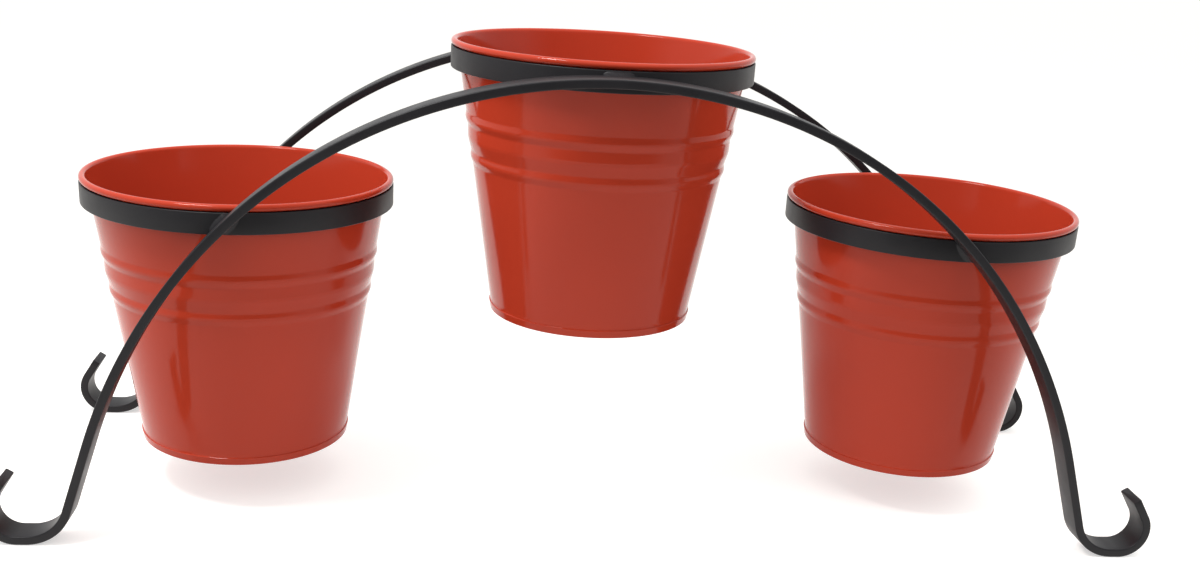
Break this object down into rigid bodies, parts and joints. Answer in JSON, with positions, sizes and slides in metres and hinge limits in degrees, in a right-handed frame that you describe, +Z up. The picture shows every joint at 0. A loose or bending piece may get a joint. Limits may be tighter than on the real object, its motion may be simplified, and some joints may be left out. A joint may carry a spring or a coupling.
{
  "type": "plant stand",
  "caption": "Arched flat-bar plant stand on scrolled feet, with welded rings that hold tapered sheet-metal buckets by their rolled rims.",
  "frame": {"origin": "on the floor under the middle of the stand", "axes": "+X along the arches from the left bucket to the right one, +Y from the front arch to the rear one, +Z up"},
  "size_m": [0.5788, 0.1876, 0.237],
  "materials": {
    "black_paint": "satin",
    "red_enamel": "gloss"
  },
  "bodies": {
    "stand": {"front_arch": "black_paint", "rear_arch": "black_paint", "left_ring": "black_paint", "centre_ring": "black_paint", "right_ring": "black_paint", "left_front_weld": "black_paint", "left_rear_weld": "black_paint", "centre_front_weld": "black_paint", "centre_rear_weld": "black_paint", "right_front_weld": "black_paint", "right_rear_weld": "black_paint"},
    "left_bucket": {"left_bucket_shell": "red_enamel", "left_bucket_bottom": "red_enamel"},
    "centre_bucket": {"centre_bucket_shell": "red_enamel", "centre_bucket_bottom": "red_enamel"},
    "right_bucket": {"right_bucket_shell": "red_enamel", "right_bucket_bottom": "red_enamel"}
  },
  "joints": [
    {"name": "left_bucket_lift", "type": "slide", "parent": "stand", "child": "left_bucket", "axis": [0, 0, 1], "range_m": [0, 0.16]},
    {"name": "centre_bucket_lift", "type": "slide", "parent": "stand", "child": "centre_bucket", "axis": [0, 0, 1], "range_m": [0, 0.16]},
    {"name": "right_bucket_lift", "type": "slide", "parent": "stand", "child": "right_bucket", "axis": [0, 0, 1], "range_m": [0, 0.16]}
  ]
}
